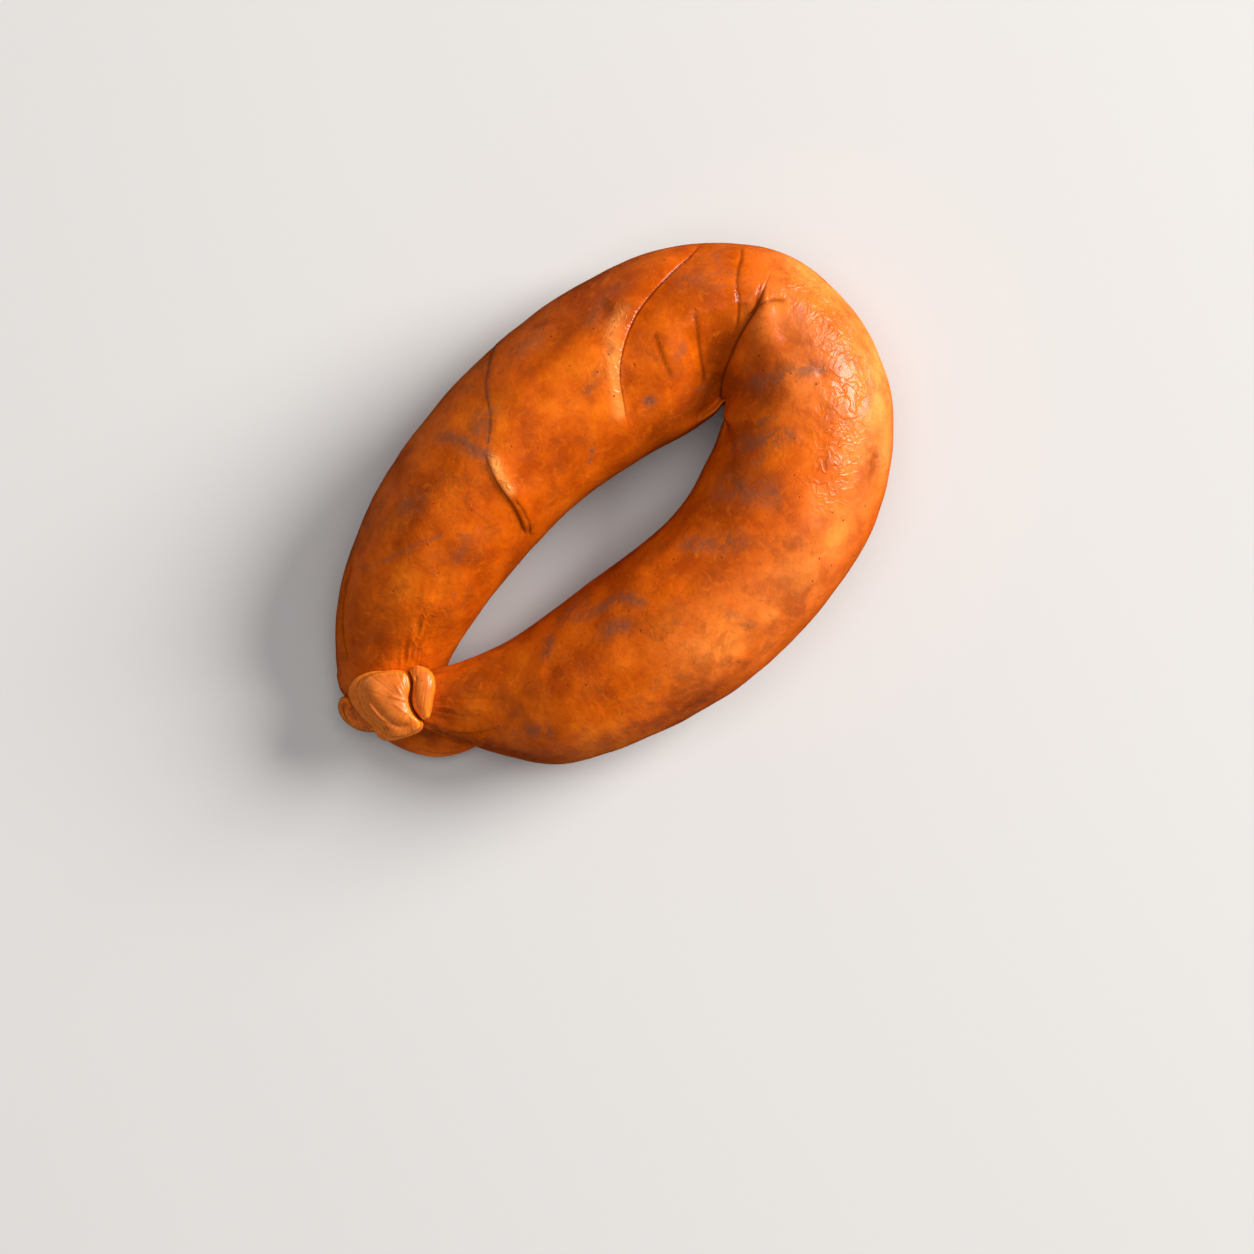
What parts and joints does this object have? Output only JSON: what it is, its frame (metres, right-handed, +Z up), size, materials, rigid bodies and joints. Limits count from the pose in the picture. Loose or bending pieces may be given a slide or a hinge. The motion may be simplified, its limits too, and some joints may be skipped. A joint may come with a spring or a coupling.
{
  "type": "cured sausage",
  "caption": "Smoked cured sausage in a natural casing, bent into a closed horseshoe, with its casing ends folded over each other as a knot where the arms meet.",
  "frame": {"origin": "centre of the footprint, on the surface that the sausage lies on", "axes": "+X from the knotted casing ends towards the closed bend, +Y towards the arm whose end is drawn under the knot, +Z up from the surface"},
  "size_m": [0.1584, 0.1008, 0.0401],
  "materials": {
    "smoked_casing": "oily semi-gloss smoked casing, orange with brown blotches",
    "knotted_casing": "pale semi-gloss casing skin with fine creases"
  },
  "bodies": {
    "root": {"sausage_body": "smoked_casing", "casing_tail_over": "knotted_casing", "casing_tail_under": "knotted_casing"}
  },
  "joints": []
}
